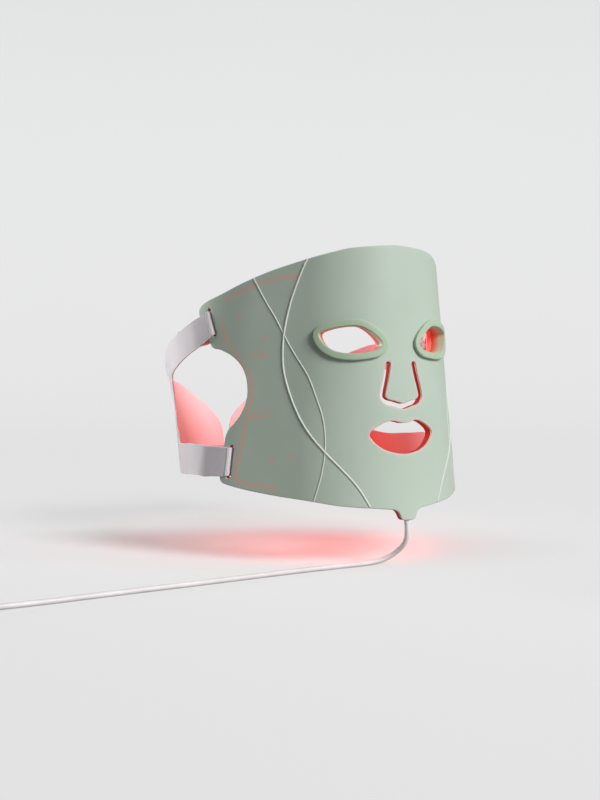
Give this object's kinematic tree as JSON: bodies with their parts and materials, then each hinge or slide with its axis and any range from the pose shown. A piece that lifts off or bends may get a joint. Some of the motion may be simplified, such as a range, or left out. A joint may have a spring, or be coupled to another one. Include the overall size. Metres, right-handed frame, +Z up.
{
  "type": "led face mask",
  "caption": "Flexible silicone light-therapy face mask with eye, nose and mouth openings, elastic head strap, and a corded hand controller.",
  "frame": {"origin": "middle of the wearer's head, level with the middle of the mask", "axes": "+Z up, -Y the way the face looks, -X the wearer's right"},
  "size_m": [0.5179, 0.3006, 0.2461],
  "materials": {
    "skin": "matte silicone, pale sage green",
    "inner": "satin clear silicone over lit circuits",
    "board": "flexible circuit film with small lamps",
    "rim": "matte silicone, deeper sage green",
    "pad": "soft silicone",
    "strap": "woven elastic, pale grey",
    "hook": "hook tape",
    "cord": "matte cable jacket, off-white",
    "case": "fine matte",
    "circuit": "solder mask",
    "cell": "foil pouch",
    "key": "matte silicone",
    "metal": "plain",
    "foot": "soft rubber",
    "clear": "clear light pipe"
  },
  "bodies": {
    "mask": {"outer_skin": "skin", "inner_skin": "inner", "lamp_board_forehead": "board", "lamp_board_nose": "board", "lamp_board_chin": "board", "lamp_board_temple_left": "board", "lamp_board_temple_right": "board", "lamp_board_cheek_left": "board", "lamp_board_cheek_right": "board", "eye_rim_left": "rim", "eye_rim_right": "rim", "eye_pad_left": "pad", "eye_pad_right": "pad", "upper_loop_left": "strap", "upper_loop_right": "strap", "lower_loop_left": "strap", "lower_loop_right": "strap", "cord_tie": "hook", "cord": "cord", "cord_coil": "cord", "cord_lead": "cord", "controller_bottom": "case", "controller_top": "case", "controller_board": "circuit", "battery_cell": "cell", "power_switch": "metal", "mode_switch": "metal", "charge_socket": "metal", "case_screw_1": "metal", "case_screw_2": "metal", "case_screw_3": "metal", "case_screw_4": "metal", "chin_gland": "foot", "cord_relief": "foot", "foot_1": "foot", "foot_2": "foot", "foot_3": "foot", "foot_4": "foot", "status_light": "clear"},
    "right_strap": {"strap_right": "strap", "upper_tail_right": "hook", "lower_tail_right": "hook"},
    "left_strap": {"strap_left": "strap", "upper_tail_left": "hook", "lower_tail_left": "hook", "back_closure": "hook"},
    "power_key": {"power_button": "key"},
    "mode_key": {"mode_button": "key"}
  },
  "joints": [
    {"name": "right_strap_swing", "type": "hinge", "parent": "mask", "child": "right_strap", "pos_m": [-0.119, -0.04163, -0.02402], "axis": [0, 0.2164, 0.9763], "range_deg": [0, 70]},
    {"name": "left_strap_swing", "type": "hinge", "parent": "mask", "child": "left_strap", "pos_m": [0.119, -0.04163, -0.02402], "axis": [0, -0.2164, -0.9763], "range_deg": [0, 70]},
    {"name": "power_press", "type": "slide", "parent": "mask", "child": "power_key", "axis": [0, 0, -1], "range_m": [0, 0.0005], "stiffness_N_per_m": 1200, "springref_m": -0.0006},
    {"name": "mode_press", "type": "slide", "parent": "mask", "child": "mode_key", "axis": [0, 0, -1], "range_m": [0, 0.0005], "stiffness_N_per_m": 1200, "springref_m": -0.0006}
  ],
  "couplings": [
    {"joint": "left_strap_swing", "follows": "right_strap_swing", "ratio": 1}
  ]
}
